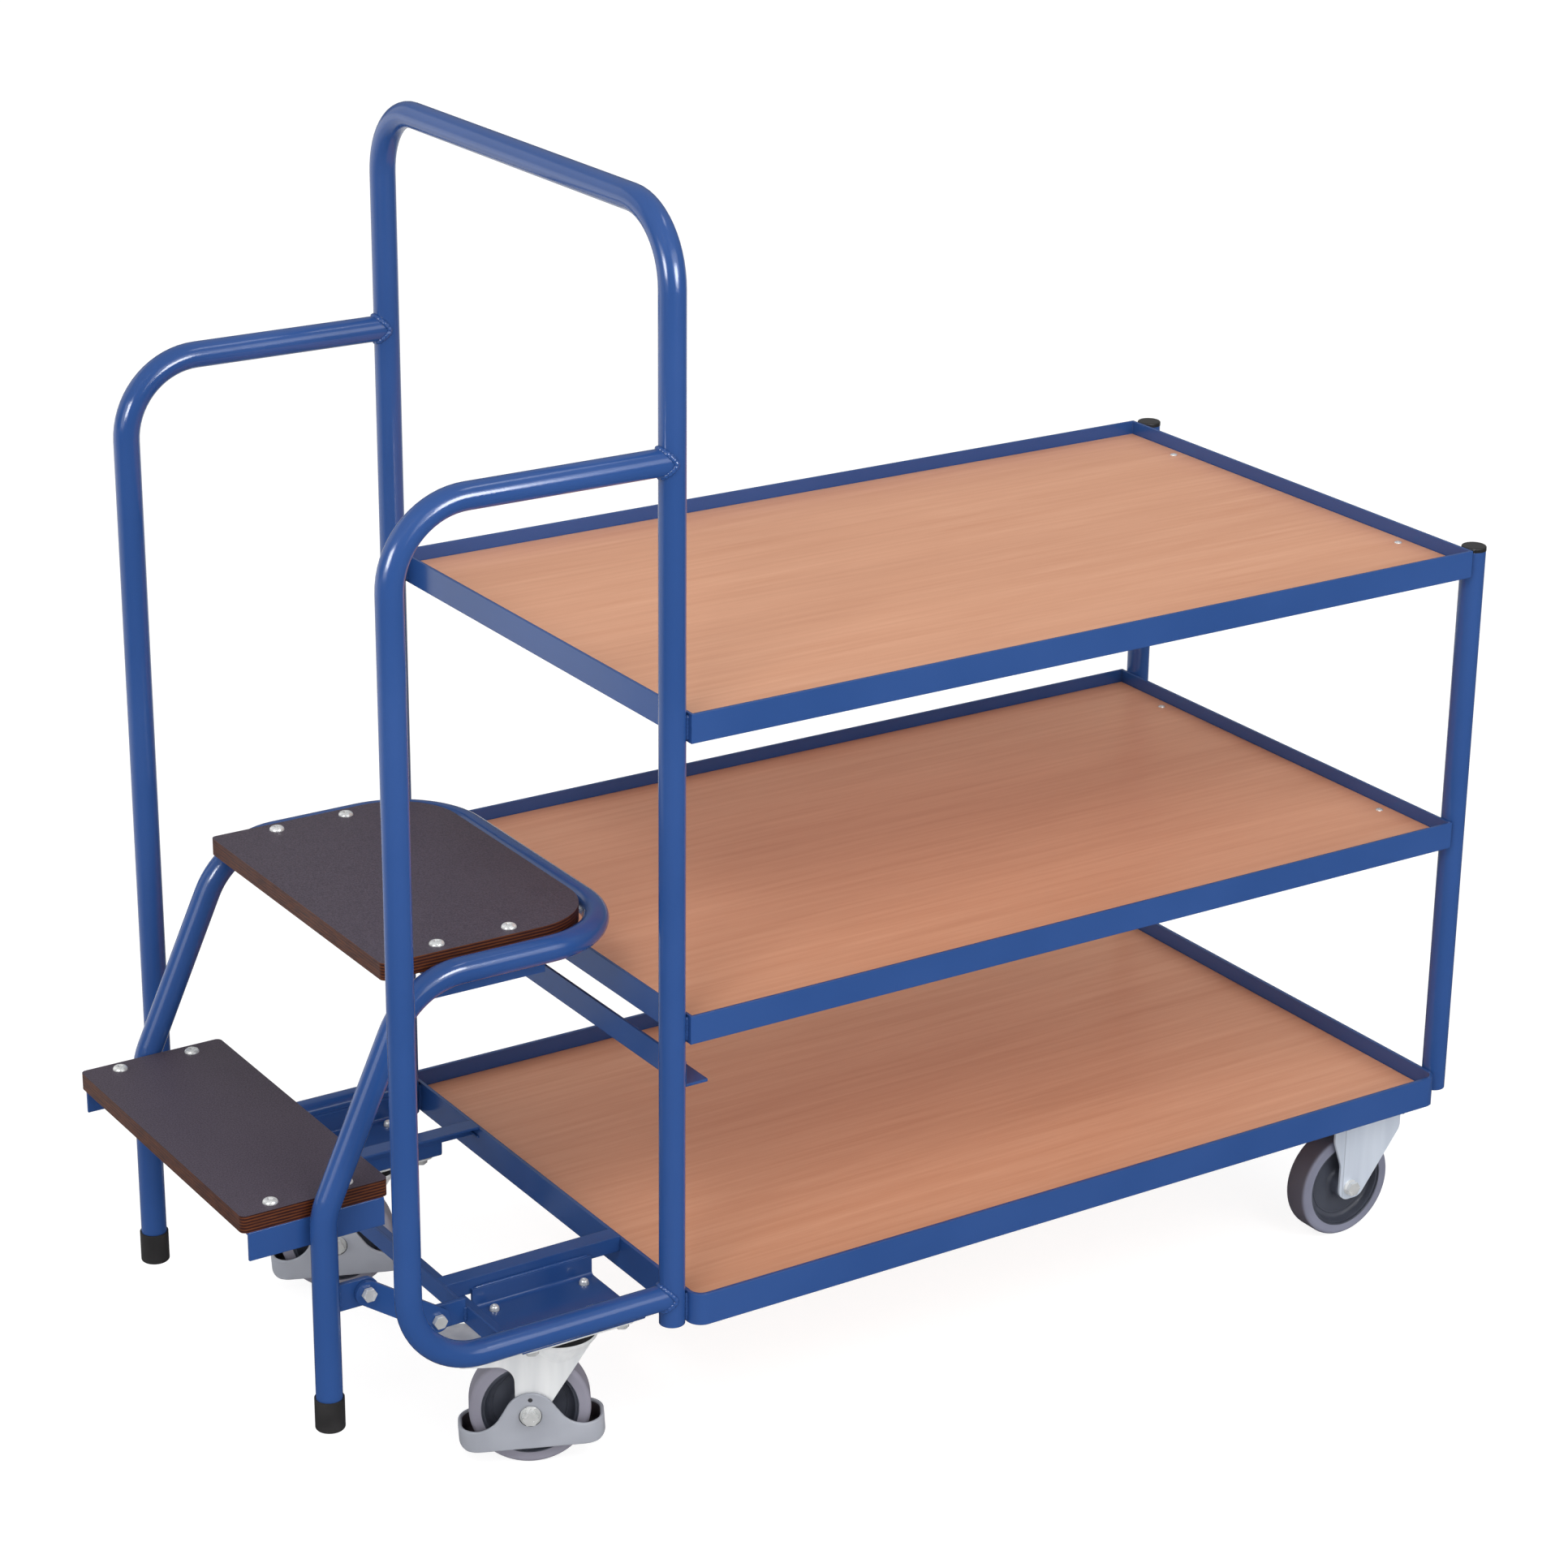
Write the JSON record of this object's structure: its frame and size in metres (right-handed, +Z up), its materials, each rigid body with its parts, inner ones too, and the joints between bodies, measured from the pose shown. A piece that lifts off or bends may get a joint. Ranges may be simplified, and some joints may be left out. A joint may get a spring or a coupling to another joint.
{
  "type": "order picking trolley",
  "caption": "Order picking trolley: blue tube frame, boarded shelves, push handle, sinking step unit on links with hand rails, swivel casters with brake pedals and fixed casters.",
  "frame": {"origin": "on the floor, under the middle of the bounding box", "axes": "+Z up, +X along the trolley from the step end to the far end of the shelves, +Y to the left of someone who faces +X"},
  "size_m": [1.4586, 0.62, 1.3144],
  "materials": {
    "blue_steel": "gloss powder coat",
    "beech_board": "satin beech laminate",
    "film_ply": "dark phenolic film on plywood, fine anti-slip print",
    "foot_rubber": "matte black",
    "cap_plastic": "black",
    "grey_tread": "grey elastomer",
    "wheel_core": "dark grey",
    "pedal_plastic": "grey",
    "zinc_steel": "bright zinc plate"
  },
  "bodies": {
    "frame": {"handle_frame": "blue_steel", "stop_bar": "blue_steel", "cross_angle": "blue_steel", "rear_beam": "blue_steel", "base_frame": "blue_steel", "base_board": "beech_board", "shelf_frame_top": "blue_steel", "shelf_board_top": "beech_board", "shelf_frame_middle": "blue_steel", "shelf_board_middle": "beech_board", "side_rail_left": "blue_steel", "rear_post_left": "blue_steel", "post_cap_left": "cap_plastic", "base_runner_left": "blue_steel", "caster_pan_left": "blue_steel", "swivel_plate_left": "zinc_steel", "fixed_fork_left": "zinc_steel", "fixed_axle_left": "zinc_steel", "link_bracket_left": "blue_steel", "base_link_bolt_left": "zinc_steel", "side_rail_right": "blue_steel", "rear_post_right": "blue_steel", "post_cap_right": "cap_plastic", "base_runner_right": "blue_steel", "caster_pan_right": "blue_steel", "swivel_plate_right": "zinc_steel", "fixed_fork_right": "zinc_steel", "fixed_axle_right": "zinc_steel", "link_bracket_right": "blue_steel", "base_link_bolt_right": "zinc_steel"},
    "links": {"link_bar_left": "blue_steel", "link_bar_right": "blue_steel"},
    "step": {"step_tube": "blue_steel", "upper_tread": "film_ply", "lower_tread": "film_ply", "upper_tread_angle_left": "blue_steel", "lower_tread_angle_left": "blue_steel", "step_lug_left": "blue_steel", "foot_cap_left": "foot_rubber", "step_link_bolt_left": "zinc_steel", "upper_tread_angle_right": "blue_steel", "lower_tread_angle_right": "blue_steel", "step_lug_right": "blue_steel", "foot_cap_right": "foot_rubber", "step_link_bolt_right": "zinc_steel"},
    "swivel_left": {"swivel_fork_left": "zinc_steel", "swivel_axle_left": "zinc_steel"},
    "front_wheel_left": {"swivel_tyre_left": "grey_tread", "swivel_rim_left": "wheel_core"},
    "pedal_left": {"brake_pedal_left": "pedal_plastic"},
    "rear_wheel_left": {"fixed_tyre_left": "grey_tread", "fixed_rim_left": "wheel_core"},
    "swivel_right": {"swivel_fork_right": "zinc_steel", "swivel_axle_right": "zinc_steel"},
    "front_wheel_right": {"swivel_tyre_right": "grey_tread", "swivel_rim_right": "wheel_core"},
    "pedal_right": {"brake_pedal_right": "pedal_plastic"},
    "rear_wheel_right": {"fixed_tyre_right": "grey_tread", "fixed_rim_right": "wheel_core"}
  },
  "joints": [
    {"name": "link_swing", "type": "hinge", "parent": "frame", "child": "links", "pos_m": [-0.53133, 0, 0.193], "axis": [0, -1, 0], "range_deg": [0, 68], "stiffness_Nm_per_rad": 15, "springref_deg": -40.11},
    {"name": "step_level", "type": "hinge", "parent": "links", "child": "step", "pos_m": [-0.60833, 0, 0.2455], "axis": [0, -1, 0], "range_deg": [-68, 0]},
    {"name": "caster_swivel_left", "type": "hinge", "parent": "frame", "child": "swivel_left", "pos_m": [-0.39632, 0.2171, 0.145], "axis": [0, 0, 1], "continuous": true},
    {"name": "front_wheel_spin_left", "type": "hinge", "parent": "swivel_left", "child": "front_wheel_left", "pos_m": [-0.42281, 0.23118, 0.0625], "axis": [0.4695, 0.8829, 0], "continuous": true},
    {"name": "pedal_press_left", "type": "hinge", "parent": "swivel_left", "child": "pedal_left", "pos_m": [-0.42281, 0.23118, 0.0625], "axis": [-0.4695, -0.8829, 0], "range_deg": [0, 12]},
    {"name": "rear_wheel_spin_left", "type": "hinge", "parent": "frame", "child": "rear_wheel_left", "pos_m": [0.61062, 0.252, 0.0625], "axis": [0, 1, 0], "continuous": true},
    {"name": "caster_swivel_right", "type": "hinge", "parent": "frame", "child": "swivel_right", "pos_m": [-0.39632, -0.2171, 0.145], "axis": [0, 0, 1], "continuous": true},
    {"name": "front_wheel_spin_right", "type": "hinge", "parent": "swivel_right", "child": "front_wheel_right", "pos_m": [-0.42281, -0.20302, 0.0625], "axis": [0.4695, 0.8829, 0], "continuous": true},
    {"name": "pedal_press_right", "type": "hinge", "parent": "swivel_right", "child": "pedal_right", "pos_m": [-0.42281, -0.20302, 0.0625], "axis": [-0.4695, -0.8829, 0], "range_deg": [0, 12]},
    {"name": "rear_wheel_spin_right", "type": "hinge", "parent": "frame", "child": "rear_wheel_right", "pos_m": [0.61062, -0.252, 0.0625], "axis": [0, 1, 0], "continuous": true}
  ],
  "couplings": [
    {"joint": "step_level", "follows": "link_swing", "ratio": -1}
  ]
}
